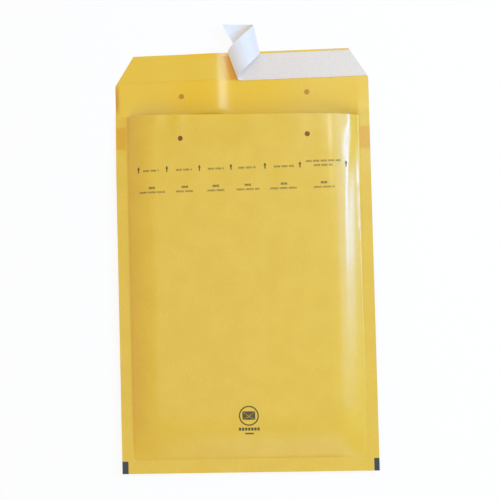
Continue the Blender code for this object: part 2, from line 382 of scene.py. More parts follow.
    def front_point(self, x: float, y: float, lift: float = 0.0) -> Point:
        """Point of the front, whose free edge runs a little askew, at a lift over its middle."""
        share = clamp((y - self.fold + 40 * MM) / (40 * MM))
        return (x, y - self.lip_skew * share * x / self.half_w, self.front(x, y) + lift)

    def back(self, x: float, y: float) -> float:
        """Height of the middle of the back's paper, and of the flap past the fold line.

        Args:
            x: Place across the envelope.
            y: Place along it.

        Returns:
            The height over the table.
        """
        past = y - self.fold
        run = self.back_run + self.spread * ease(past / self.spread_run)
        full = self.fullness(x, y, run, self.back_run)
        settled = ease(past / self.settle)
        drop = (self.seam_level(y) - self.paper) * (1.0 - full) * (1.0 - settled)
        flank = self.ridge_right if x > self.ridge_x else self.ridge_left
        ridge = self.ridge_height * bell(x - self.ridge_x, flank) * ease(past / (9 * MM) + 0.25)
        second = 0.35 * MM * bell(x + 66 * MM, 12 * MM) * settled
        uneven = 0.16 * MM * settled * (0.7 + ripple(x, y, 34 * MM, 12.0))
        bent = clamp((self.bend - x - self.half_w) / self.bend) ** 2
        bent *= ease((past - 2 * MM) / (7 * MM)) * ease((30 * MM - past) / (9 * MM))
        low = drop + ridge + second + uneven
        return low - min(low, 2.6 * MM) * bent + self.paper / 2


# Mesh tools


def new_object(name: str, bm: BMesh) -> Object:
    """Put a finished bmesh into the scene.

    Args:
        name: Name of the object and its mesh.
        bm: The finished mesh, which is freed.

    Returns:
        The object, at the origin.
    """
    mesh = bpy.data.meshes.new(name)
    bm.to_mesh(mesh)
    bm.free()
    obj = bpy.data.objects.new(name, mesh)
    bpy.context.scene.collection.objects.link(obj)
    return obj


def woven_grid(
    bm: BMesh,
    columns: Sequence[float],
    rows: Sequence[float],
    place: Callable[[float, float], Point],
) -> None:
    """Lay a grid of faces over a sheet whose two directions have their own stops.

    Args:
        bm: The mesh that gets the grid.
        columns: Stops of the sheet's first direction.
        rows: Stops of the sheet's second direction.
        place: Gives the point for a stop of each direction.
    """
    wide, long = len(columns) - 1, len(rows) - 1
    made = bmesh.ops.create_grid(bm, x_segments=wide, y_segments=long, size=0.5)["verts"]
    for vert in made:
        column = columns[round((vert.co.x + 0.5) * wide)]
        row = rows[round((vert.co.y + 0.5) * long)]
        vert.co = place(column, row)


def settle_modifiers(obj: Object) -> None:
    """Apply all of an object's modifiers to its mesh.

    Args:
        obj: The object, which keeps its place and loses its modifiers.
    """
    graph = bpy.context.evaluated_depsgraph_get()
    mesh = bpy.data.meshes.new_from_object(obj.evaluated_get(graph))
    obj.modifiers.clear()
    obj.data = mesh


def thicken(obj: Object, thickness: float, offset: float = 0.0, back_slot: int = 0) -> None:
    """Give a sheet its thickness.

    Args:
        obj: The sheet.
        thickness: Its thickness.
        offset: 0 to lay the thickness about the sheet, 1 to lay it all above.
        back_slot: How many slots further the material of the far face is.
    """
    solid = obj.modifiers.new("Thickness", "SOLIDIFY")
    solid.thickness = thickness
    solid.offset = offset
    solid.material_offset = back_slot
    settle_modifiers(obj)


def punch(obj: Object, tool: Object) -> None:
    """Cut a tool out of an object.

    Args:
        obj: The object that is cut.
        tool: The closed shape that is cut out of it.
    """
    cut = obj.modifiers.new("Punch", "BOOLEAN")
    cut.object = tool
    cut.operation = "DIFFERENCE"
    cut.solver = "EXACT"
    settle_modifiers(obj)


def shade(obj: Object, angle: float = 40.0) -> None:
    """Shade smooth, with edges sharper than an angle kept sharp."""
    obj.data.shade_smooth()
    obj.data.set_sharp_from_angle(angle=math.radians(angle))


# Clasp holes


@dataclass(frozen=True)
class ClaspHoles:
    """Two pairs of punches for a paper clasp: through the front, half into the flap.

    Attributes:
        form: Heights of the paper that is punched.
        diameter: Width of each hole.
        spacing: Distance between the two holes of a pair.
        shift: How far the pairs sit right of the middle.
        from_fold: Distance of each pair from the flap's fold line.
        depth: How far the flap's half-punched discs are pressed in.
    """

    form: PocketForm
    diameter: float = 4.0 * MM
    spacing: float = 98.0 * MM
    shift: float = 2.2 * MM
    from_fold: float = 17.15 * MM
    depth: float = 0.13 * MM

    def distance(self, x: float, y: float) -> float:
        """Distance in plan from a place to the nearer hole of the front."""
        aside = abs(x - self.shift) - self.spacing / 2
        return math.hypot(aside, y - self.form.fold + self.from_fold)

    def tool(self, paper: float) -> Object:
        """Make the punches as one tool.

        Args:
            paper: Thickness of the sheet that they cut.

        Returns:
            The tool: two cylinders through the front, two down into the flap.
        """
        form = self.form
        bm = bmesh.new()
        for side in (-0.5, 0.5):
            x = self.shift + side * self.spacing
            flap = form.fold + self.from_fold
            disc = form.back(x, flap) + paper / 2 - self.depth
            for y, low in ((form.fold - self.from_fold, form.seam_height), (flap, disc)):
                made = bmesh.ops.create_cone(bm, cap_ends=True, segments=32, depth=20 * MM,
                                             radius1=self.diameter / 2,
                                             radius2=self.diameter / 2)
                bmesh.ops.translate(bm, verts=made["verts"], vec=(x, y, low + 10 * MM))
        return new_object("punches", bm)

    def cut(self, obj: Object, paper: float) -> None:
        """Punch an object's sheets.

        Args:
            obj: The object.
            paper: Thickness of its sheets.
        """
        tool = self.tool(paper)
        punch(obj, tool)
        bpy.data.objects.remove(tool)


# Material tools


def feed(tree: NodeTree, node: Node, inputs: dict[str | int, object]) -> None:
    """Set or link a node's inputs.

    Args:
        tree: The tree that the node is in.
        node: The node.
        inputs: Value, or socket to link from, for each input by name or number.
    """
    for key, value in inputs.items():
        if isinstance(value, NodeSocket):
            tree.links.new(value, node.inputs[key])
        else:
            node.inputs[key].default_value = value


def add_node(
    tree: NodeTree,
    kind: str,
    inputs: dict[str | int, object] | None = None,
    **settings: object,
) -> Node:
    """Add one shader node with its settings, and its inputs set or linked.

    Args:
        tree: The material's node tree.
        kind: The node's type name.
        inputs: Value, or socket to link from, for each input by name or number.
        **settings: Values of the node's own properties.

    Returns:
        The new node.
    """
    made = tree.nodes.new(kind)
    for key, value in settings.items():
        setattr(made, key, value)
    feed(tree, made, inputs or {})
    return made


def blank_material(name: str) -> tuple[Material, NodeTree, Node]:
    """Start a material that has only its Principled BSDF.

    Args:
        name: The material's name, after the real material.

    Returns:
        The material, its node tree and the shader node.
    """
    finish = bpy.data.materials.new(name)
    finish.use_nodes = True
    tree = finish.node_tree
    return finish, tree, tree.nodes["Principled BSDF"]


def off_line(tree: NodeTree, place: NodeSocket, line: float) -> NodeSocket:
    """Measure how far a place is from a line, to either side.

    Args:
        tree: The material's node tree.
        place: The place, measured across the line.
        line: Where the line is.

    Returns:
        The distance.
    """
    away = add_node(tree, "ShaderNodeMath", {0: place, 1: line}, operation="SUBTRACT")
    return add_node(tree, "ShaderNodeMath", {0: away.outputs[0]}, operation="ABSOLUTE").outputs[0]


def band_mask(tree: NodeTree, place: NodeSocket, line: float, rim: tuple[float, float],
              inside: float = 1.0, outside: float = 0.0) -> NodeSocket:
    """Mask a band along a line, with a soft rim.

    Args:
        tree: The material's node tree.
        place: The place, measured across the line.
        line: Where the line is.
        rim: Distances from the line at which the rim starts and ends.
        inside: The mask within the rim.
        outside: The mask beyond it.

    Returns:
        The mask.
    """
    return add_node(tree, "ShaderNodeMapRange", {
        0: off_line(tree, place, line), 1: rim[0], 2: rim[1], 3: inside, 4: outside},
        interpolation_type="SMOOTHSTEP").outputs[0]


class Face(Enum):
    """The two faces of the paper web, with the slot that each one's material takes."""

    INSIDE = 0
    OUTSIDE = 1


@dataclass(frozen=True)
class KraftFinish:
    """Golden kraft paper, mass-dyed and machine-glazed: a satin sheet with cloudy fibres.

    The glaze gives long soft streaks of light at the bends. Fibres show as a fine mottle
    that runs up the sheet. The flap is a little more orange than the front and painted
    lighter to make up for the pocket's shade on it, and its middle is painted a deeper gold
    where less sheen falls. Painted shade darkens the flap's bent-down left edge, the side
    seals near the mouth and the half-punched discs. An emission painted on the inside of the
    pocket under the mouth stands in for the red-brown light that comes through the sheet.

    Attributes:
        paper: Colour of the front and back.
        cloud: Their colour where the fibres lie thinner.
        flap: The flap's colour, more orange than the front and painted lighter against its shade.
        flap_run: Length over which the front's colour changes to it at the fold line.
        deep: Colour painted in the flap's middle, a deeper gold where less sheen falls.
        deep_at: Where across the flap that is.
        deep_rim: How far from there it starts to fade and is gone.
        deep_share: How much of it there is at the most.
        seal_shade: Colour of the painted shade on the side seals near the mouth, a deeper orange.
        seal_shade_below: How far below the fold line its middle is.
        seal_shade_skew: How much lower it is on the right.
        seal_shade_rim: How far from its middle it starts to fade and is gone.
        bent_edge_shade: Colour of the painted shade on the flap's left edge, which is bent down.
        bent_edge_shade_above: How far above the fold line its middle is.
        bent_edge_shade_rim: How far from its middle it starts to fade and is gone.
        bent_edge_shade_width: How far from the edge it starts to fade and is gone.
        bent_edge_shade_share: How much of it there is at the most.
        disc: Colour of the half-punched discs, painted darker for the shade in their recess.
        ink: Colour of the register marks at the bottom corners.
        mark: Width and height of those marks.
        mark_shift: How far right of the middle the marks' web was cut.
        glow: Colour of the painted emission that stands in for light through the sheet.
        glow_strength: Strength of that emission.
        glow_depth: Depths under the mouth at which the glow is gone and whole.
        roughness: Roughness of the glazed face.
        specular: Strength of its gloss.
        cloud_size: Size of the cloudy patches.
        fibre_size: Width of the fibres' mottle.
    """

    paper: str = "#E0B733"
    cloud: str = "#E3BB39"
    flap: str = "#EABF37"
    flap_run: float = 4.0 * MM
    deep: str = "#EEBD14"
    deep_at: float = -10.0 * MM
    deep_rim: tuple[float, float] = (26.0 * MM, 68.0 * MM)
    deep_share: float = 0.9
    seal_shade: str = "#DCA41A"
    seal_shade_below: float = 17.2 * MM
    seal_shade_skew: float = 0.029
    seal_shade_rim: tuple[float, float] = (7.2 * MM, 10.4 * MM)
    bent_edge_shade: str = "#CF8A1C"
    bent_edge_shade_above: float = 17.0 * MM
    bent_edge_shade_rim: tuple[float, float] = (5.0 * MM, 15.0 * MM)
    bent_edge_shade_width: tuple[float, float] = (0.8 * MM, 4.4 * MM)
    bent_edge_shade_share: float = 0.75
    disc: str = "#C08006"
    ink: str = "#1E2A2E"
    mark: tuple[float, float] = (4.4 * MM, 9.5 * MM)
    mark_shift: float = 0.4 * MM
    glow: str = "#BE500F"
    glow_strength: float = 0.42
    glow_depth: tuple[float, float] = (8.0 * MM, 14.0 * MM)
    roughness: float = 0.25
    specular: float = 0.65
    cloud_size: float = 16.0 * MM
    fibre_size: float = 0.8 * MM

    def fibres(self, tree: NodeTree, where: NodeSocket) -> tuple[NodeSocket, NodeSocket]:
        """Add the sheet's cloudiness and its fibres.

        Args:
            tree: The material's node tree.
            where: Coordinates on the object.

        Returns:
            The cloudiness and the fibres, both from 0 to 1.
        """
        cloud = add_node(tree, "ShaderNodeTexNoise", {
            "Vector": where, "Scale": 1 / self.cloud_size, "Detail": 3.0})
        along = add_node(tree, "ShaderNodeMapping", {0: where, 3: (1.0, 0.22, 1.0)})
        fibre = add_node(tree, "ShaderNodeTexNoise", {
            "Vector": along.outputs[0], "Scale": 1 / self.fibre_size, "Detail": 4.0})
        return cloud.outputs[0], fibre.outputs[0]

    def patches(self, tree: NodeTree, holes: ClaspHoles, across: NodeSocket,
                up: NodeSocket) -> list[tuple[str, NodeSocket, NodeSocket | float]]:
        """Lay out the patches of another colour, the topmost last.

        Args:
            tree: The material's node tree.
            holes: The clasp holes, which know the envelope's form.
            across: Place across the envelope.
            up: Place along it.

        Returns:
            Each patch's colour and the two masks whose overlap it fills.
        """
        form = holes.form
        above, past = (add_node(tree, "ShaderNodeMapRange", {
            0: up, 1: form.fold - run, 2: form.fold + self.flap_run}).outputs[0]
            for run in (0.0, self.flap_run))
        skewed = add_node(tree, "ShaderNodeMath", {0: across, 1: self.seal_shade_skew, 2: up},
                          operation="MULTIPLY_ADD").outputs[0]
        outer = add_node(tree, "ShaderNodeMath", {
            0: off_line(tree, across, self.mark_shift), 1: form.half_w - self.mark[0]},
            operation="GREATER_THAN").outputs[0]
        low = add_node(tree, "ShaderNodeMath", {0: up, 1: form.foot + self.mark[1]},
                       operation="LESS_THAN").outputs[0]
        seam = (form.seam_in - 1 * MM, form.seam_in + 3 * MM)
        return [
            # Painted light: the flap is lighter than the front to make up for the pocket's shade,
            # and a little more orange.
            (self.flap, above, 1.0),
            # Painted: the flap's middle is a deeper gold, standing in for the sheen that falls less
            # there.
            (self.deep, past,
             band_mask(tree, across, self.deep_at, self.deep_rim, self.deep_share)),
            # Painted shade: the side seals near the mouth are painted a deeper orange.
            (self.seal_shade, band_mask(tree, across, 0.0, seam, inside=0.0, outside=1.0),
             band_mask(tree, skewed, form.fold - self.seal_shade_below, self.seal_shade_rim)),
            # Painted shade: the flap's left edge, bent down away from the light, is painted a darker
            # orange.
            (self.bent_edge_shade,
             band_mask(tree, across, -form.half_w, self.bent_edge_shade_width, self.bent_edge_shade_share),
             band_mask(tree, up, form.fold + self.bent_edge_shade_above, self.bent_edge_shade_rim)),
            (self.ink, outer, low),
            # Painted shade: the half-punched discs lie a little below the flap and are painted
            # darker.
            (self.disc, self.discs(tree, holes, across, up), 1.0),
        ]

    def discs(self, tree: NodeTree, holes: ClaspHoles, across: NodeSocket,
              up: NodeSocket) -> NodeSocket:
        """Mask the half-punched discs of the flap, where their shade is painted.

        Args:
            tree: The material's node tree.
            holes: Sizes of the clasp holes.
            across: Place across the envelope.
            up: Place along it.

        Returns:
            The mask, 0 or 1.
        """
        aside = off_line(tree, across, holes.shift)
        place = add_node(tree, "ShaderNodeCombineXYZ", {0: aside, 1: up})
        middle = (holes.spacing / 2, holes.form.fold + holes.from_fold, 0.0)
        reach = add_node(tree, "ShaderNodeVectorMath", {0: place.outputs[0], 1: middle},
                         operation="DISTANCE")
        inside = add_node(tree, "ShaderNodeMath", {
            0: reach.outputs["Value"], 1: holes.diameter / 2 + 0.05 * MM}, operation="LESS_THAN")
        return inside.outputs[0]

    def make(self, holes: ClaspHoles, face: Face) -> Material:
        """Build the material of one face of the paper on the envelope's own sizes.

        Args:
            holes: The clasp holes, which know the envelope's form.
            face: The face of the web.

        Returns:
            The material.
        """
        finish, tree, shader = blank_material(f"golden_kraft_{face.name.lower()}")
        where = add_node(tree, "ShaderNodeTexCoord").outputs["Object"]
        across, up, _ = add_node(tree, "ShaderNodeSeparateXYZ", {0: where}).outputs
        cloud, fibre = self.fibres(tree, where)
        share = add_node(tree, "ShaderNodeMapRange", {0: cloud, 1: 0.38, 2: 0.64})
        colour = add_node(tree, "ShaderNodeMix", {
            0: share.outputs[0], 6: linear(self.paper), 7: linear(self.cloud)}, data_type="RGBA")
        speck = add_node(tree, "ShaderNodeMapRange", {0: fibre, 1: 0.3, 2: 0.75, 3: 0.992, 4: 1.008})
        colour = add_node(tree, "ShaderNodeMix", {
            0: 1.0, 6: colour.outputs[2], 7: speck.outputs[0]}, data_type="RGBA",
            blend_type="MULTIPLY")
        for over, first, second in self.patches(tree, holes, across, up):
            mask = add_node(tree, "ShaderNodeMath", {0: first, 1: second}, operation="MULTIPLY")
            colour = add_node(tree, "ShaderNodeMix", {
                0: mask.outputs[0], 6: colour.outputs[2], 7: linear(over)}, data_type="RGBA")
        rough = add_node(tree, "ShaderNodeMapRange", {
            0: fibre, 1: 0.3, 2: 0.7, 3: self.roughness - 0.01, 4: self.roughness + 0.03})
        height = add_node(tree, "ShaderNodeMath", {0: cloud, 1: 2.0, 2: fibre},
                          operation="MULTIPLY_ADD")
        bump = add_node(tree, "ShaderNodeBump", {
            "Height": height.outputs[0], "Strength": 0.07, "Distance": 0.03 * MM})
        feed(tree, shader, {
            "Base Color": colour.outputs[2], "Roughness": rough.outputs[0],
            "Normal": bump.outputs[0], "IOR": 1.47, "Specular IOR Level": self.specular})
        # Painted light: under the mouth the inside face emits a red-brown glow for light that comes
        # through the sheet.
        if face is Face.INSIDE:
            gone, whole = (holes.form.fold - depth for depth in self.glow_depth)
            deep = add_node(tree, "ShaderNodeMapRange", {
                0: up, 1: whole, 2: gone, 3: self.glow_strength, 4: 0.0})
            feed(tree, shader, {"Emission Strength": deep.outputs[0],
                                "Emission Color": linear(self.glow)})
        return finish


@dataclass(frozen=True)
class InkFinish:
    """Flexographic ink, a dark brown-grey, matt because it has soaked into the paper.

    Attributes:
        colour: The ink where it covers.
        thin: The ink where the paper took less of it.
        roughness: Roughness of the printed surface.
        mottle: Size of the uneven spots.
    """

    colour: str = "#4A3C14"
    thin: str = "#9A7C2C"
    roughness: float = 0.55
    mottle: float = 0.5 * MM

    def make(self) -> Material:
        """Build the ink's material, a little uneven where the paper took less of it.

        Returns:
            The material.
        """
        finish, tree, shader = blank_material("flexo_ink_dark")
        where = add_node(tree, "ShaderNodeTexCoord").outputs["Object"]
        grain = add_node(tree, "ShaderNodeTexNoise",
                         {"Vector": where, "Scale": 1 / self.mottle, "Detail": 2.0}).outputs[0]
        thin = add_node(tree, "ShaderNodeMapRange", {0: grain, 1: 0.45, 2: 0.8, 3: 0.0, 4: 0.35})
        colour = add_node(tree, "ShaderNodeMix", {
            0: thin.outputs[0], 6: linear(self.colour), 7: linear(self.thin)}, data_type="RGBA")
        feed(tree, shader, {"Base Color": colour.outputs[2], "Roughness": self.roughness})
        return finish


@dataclass(frozen=True)
class BubbleFilmFinish:
    """Blown polyethylene bubble film: clear, faintly milky and glossy.

    Attributes:
        colour: The film's milky tint.
        shade: Its tint in the wrinkles.
        roughness: Roughness of the stretched film.
        wrinkle: Size of the wrinkles.
        cover: How much of what lies behind the film it hides.
    """

    colour: str = "#F0F1EE"
    shade: str = "#DDE0DC"
    roughness: float = 0.16
    wrinkle: float = 3.0 * MM
    cover: float = 0.45

    def make(self) -> Material:
        """Build the film's material, with the fine wrinkles that drawing the bubbles leaves.

        Returns:
            The material.
        """
        finish, tree, shader = blank_material("polyethylene_bubble_film")
        where = add_node(tree, "ShaderNodeTexCoord").outputs["Object"]
        wrinkle = add_node(tree, "ShaderNodeTexNoise", {"Vector": where,
                           "Scale": 1 / self.wrinkle, "Detail": 3.0, "Distortion": 0.6}).outputs[0]
        tint = add_node(tree, "ShaderNodeMix", {
            0: wrinkle, 6: linear(self.colour), 7: linear(self.shade)}, data_type="RGBA").outputs[2]
        bump = add_node(tree, "ShaderNodeBump", {"Height": wrinkle, "Strength": 0.5,
                                                 "Distance": 0.15 * MM}).outputs[0]
        feed(tree, shader, {"Base Color": tint, "Normal": bump, "Roughness": self.roughness,
                            "IOR": 1.51, "Alpha": self.cover})
        return finish


@dataclass(frozen=True)
class AdhesiveFinish:
    """Hot-melt pressure adhesive: clear, so it shows the paper's gold, glossy and streaked.

    Attributes:
        colour: The adhesive over the paper.
        thick: Its streaks, where more of it was laid.
        curl_shadow: Colour of the curl's shadow, painted on the band in a deeper orange.
        curl_shadow_from: How far left of the peel line that starts.
        curl_shadow_run: Width over which the orange comes in.
        roughness: Roughness of the bare band.
        specular: Strength of its gloss.
        streak: Width of a streak.
    """

    colour: str = "#EBC13C"
    thick: str = "#E8BD34"
    curl_shadow: str = "#E6A304"
    curl_shadow_from: float = -10.2 * MM
    curl_shadow_run: float = 1.2 * MM
    roughness: float = 0.27
    specular: float = 0.5
    streak: float = 1.6 * MM

    def make(self, strip: ReleaseStrip) -> Material:
        """Build the adhesive's material: streaks along the band, with the curl's shadow painted left
        of the peel line.

        Args:
            strip: The release strip, which knows its peel line.

        Returns:
            The material.
        """
        finish, tree, shader = blank_material("hot_melt_adhesive_clear")
        where = add_node(tree, "ShaderNodeTexCoord").outputs["Object"]
        along = add_node(tree, "ShaderNodeMapping", {0: where, 3: (0.12, 1.0, 1.0)}).outputs[0]
        streak = add_node(tree, "ShaderNodeTexNoise",
                          {"Vector": along, "Scale": 1 / self.streak, "Detail": 3.0}).outputs[0]
        colour = add_node(tree, "ShaderNodeMix", {
            0: streak, 6: linear(self.colour), 7: linear(self.thick)}, data_type="RGBA").outputs[2]
        # Painted shadow: the curl's shadow on the band left of the peel line is painted a deeper
        # orange.
        across, up, _ = add_node(tree, "ShaderNodeSeparateXYZ", {0: where}).outputs
        lean = math.tan(math.radians(strip.lean))
        skewed = add_node(tree, "ShaderNodeMath", {0: up, 1: lean, 2: across},
                          operation="MULTIPLY_ADD").outputs[0]
        start = strip.peel_x + strip.low * lean + self.curl_shadow_from
        curl_shadow = add_node(tree, "ShaderNodeMapRange", {
            0: skewed, 1: start, 2: start + self.curl_shadow_run}).outputs[0]
        colour = add_node(tree, "ShaderNodeMix", {
            0: curl_shadow, 6: colour, 7: linear(self.curl_shadow)}, data_type="RGBA").outputs[2]
        bump = add_node(tree, "ShaderNodeBump", {"Height": streak, "Strength": 0.4,
                                                 "Distance": 0.02 * MM}).outputs[0]
        feed(tree, shader, {"Base Color": colour, "Normal": bump, "Roughness": self.roughness,
                            "Specular IOR Level": self.specular})
        return finish


class Side(Enum):
    """The two faces of the release paper, with the slot that each one's material takes."""

    SILICONE = 0
    PLAIN = 1


@dataclass(frozen=True)
class ReleasePaperFinish:
    """Siliconised glassine: white and slightly see-through, with two unlike faces.

    The plain face has a fine grain and is a warm white where the gold below shows through,
    a cooler white where the strip is peeled up. The silicone face is cool and smoother.
    Painted light: an emission stands in for the light that comes through the thin paper,
    which keeps the shade inside the curl pale.

    Attributes:
        plain: The plain face over the flap.
        grain_shade: Its grain.
        raised: The plain face where it is peeled up.
        raised_run: Heights between which it changes to that.
        silicone: The silicone face.
        silicone_shade: Its faint streaks.
        through: Colour of the painted emission that stands in for light that comes through.
        through_strength: Strength of that emission.
        roughness: Roughness of the plain face.
        silicone_smoother: How much less rough the silicone face is.
        grain: Size of the grain.
    """

    plain: str = "#E7DACA"
    grain_shade: str = "#DFD2C1"
    raised: str = "#BEBBB4"
    raised_run: tuple[float, float] = (3.0 * MM, 7.0 * MM)
    silicone: str = "#BDB9B2"
    silicone_shade: str = "#B9B5AE"
    through: str = "#E0EAFF"
    through_strength: float = 0.32
    roughness: float = 0.40
    silicone_smoother: float = 0.08
    grain: float = 1.3 * MM

    def make(self, side: Side) -> Material:
        """Build the material of one side.

        Args:
            side: The face of the release paper.

        Returns:
            The material.
        """
        finish, tree, shader = blank_material(f"release_paper_{side.name.lower()}")
        smooth = side is Side.SILICONE
        light = self.silicone if smooth else self.plain
        dark = self.silicone_shade if smooth else self.grain_shade
        where = add_node(tree, "ShaderNodeTexCoord").outputs["Object"]
        grain = add_node(tree, "ShaderNodeTexNoise", {
            "Vector": where, "Scale": (0.2 if smooth else 1.0) / self.grain, "Detail": 4.0})
        share = add_node(tree, "ShaderNodeMapRange", {0: grain.outputs[0], 1: 0.35, 2: 0.7})
        colour = add_node(tree, "ShaderNodeMix", {
            0: share.outputs[0], 6: linear(light), 7: linear(dark)}, data_type="RGBA").outputs[2]
        # Painted light: an emission for light through the thin paper, on the plain face only where
        # it is peeled up.
        passed = self.through_strength
        if side is Side.PLAIN:
            low, high = self.raised_run
            above = add_node(tree, "ShaderNodeSeparateXYZ", {0: where}).outputs[2]
            peeled = add_node(tree, "ShaderNodeMapRange", {0: above, 1: low, 2: high}).outputs[0]
            colour = add_node(tree, "ShaderNodeMix", {
                0: peeled, 6: colour, 7: linear(self.raised)}, data_type="RGBA").outputs[2]
            passed = add_node(tree, "ShaderNodeMath", {0: peeled, 1: passed},
                              operation="MULTIPLY").outputs[0]
        bump = add_node(tree, "ShaderNodeBump", {
            "Height": grain.outputs[0], "Strength": 0.1 if smooth else 0.3,
            "Distance": 0.05 * MM}).outputs[0]
        feed(tree, shader, {
            "Base Color": colour, "Normal": bump,
            "Roughness": self.roughness - self.silicone_smoother * smooth,
            "Emission Color": linear(self.through), "Emission Strength": passed})
        return finish


# Sub-assemblies


@dataclass
class KraftPaper:
    """The envelope's paper: one web folded into front, back and flap, its sides sealed.

    Attributes:
        form: Heights and widths of the sheets.
        finish: The paper's finish.
        holes: The clasp holes in front and flap.
        thickness: Thickness of the paper that shows.
    """

    form: PocketForm
    finish: KraftFinish
    holes: ClaspHoles
    thickness: float = 0.2 * MM

    def columns(self) -> list[float]:
        """Stops across the paper: fine at the sealed lines and on the rounded sides.

        Returns:
            The stops, from the left side to the right.
        """
        form = self.form
        shoulder = form.seam_in - form.side_run
        fold = form.seam_in - 14 * MM
        crease = form.seam_in - 3 * MM
        left = route((-form.half_w, -form.seam_in, 1.1 * MM), (-form.seam_in, -crease, 0.5 * MM),
                     (-crease, -fold, 1.0 * MM), (-fold, -shoulder, 1.6 * MM),
                     (-shoulder, 0.0, 2.2 * MM))
        right = route((0.0, shoulder, 2.2 * MM), (shoulder, fold, 1.6 * MM),
                      (fold, form.seam_in, 0.6 * MM), (form.seam_in, form.half_w, 1.1 * MM))
        return left + right[1:]

    def web_rows(self) -> list[float]:
        """Stops along the web, fine where it bends.

        Returns:
            The stops: below 0 on the front from its lip, above 0 on the back and the flap.
        """
        form = self.form
        long = form.fold - form.foot
        rounded = form.band + form.foot_run
        front = route((-long, -long + form.lip_slope, 1.2 * MM),
                      (-long + form.lip_slope, -rounded, 2.4 * MM),
                      (-rounded, -form.band - 3 * MM, 1.2 * MM),
                      (-form.band - 3 * MM, -form.band + 2 * MM, 0.45 * MM),
                      (-form.band + 2 * MM, -1 * MM, 1.6 * MM), (-1 * MM, 0.0, 0.2 * MM))
        back = route((0.0, 1 * MM, 0.2 * MM), (1 * MM, form.band, 1.6 * MM),
                     (form.band, rounded, 1.5 * MM), (rounded, long, 4 * MM),
                     (long, long + form.flap, 1.6 * MM))
        return front + back[1:]

    def place(self, x: float, web: float) -> Point:
        """Find a point of the web.

        Args:
            x: Place across the web.
            web: Distance from the bottom fold, negative on the front.

        Returns:
            The point.
        """
        form = self.form
        y = form.foot + abs(web)
        x *= form.half_width(y) / form.half_w
        at = form.front_point(x, y) if web < 0.0 else (x, y, form.back(x, y))
        near_fold = bell(web, 0.5 * MM)
        return (at[0], at[1], at[2] + (form.seam_height - at[2]) * near_fold)

    def build(self) -> Object:
        """Fold the web, give it its thickness, punch it and dress it.

        Returns:
            The paper.
        """
        bm = bmesh.new()
        woven_grid(bm, self.columns(), self.web_rows(), self.place)
        paper = new_object("kraft_paper", bm)
        for face in Face:
            paper.data.materials.append(self.finish.make(self.holes, face))
        thicken(paper, self.thickness, 0.0, 1)
        self.holes.cut(paper, self.thickness)
        shade(paper, 50.0)
        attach(paper, BODY)
        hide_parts("kraft_sheet")
        return paper


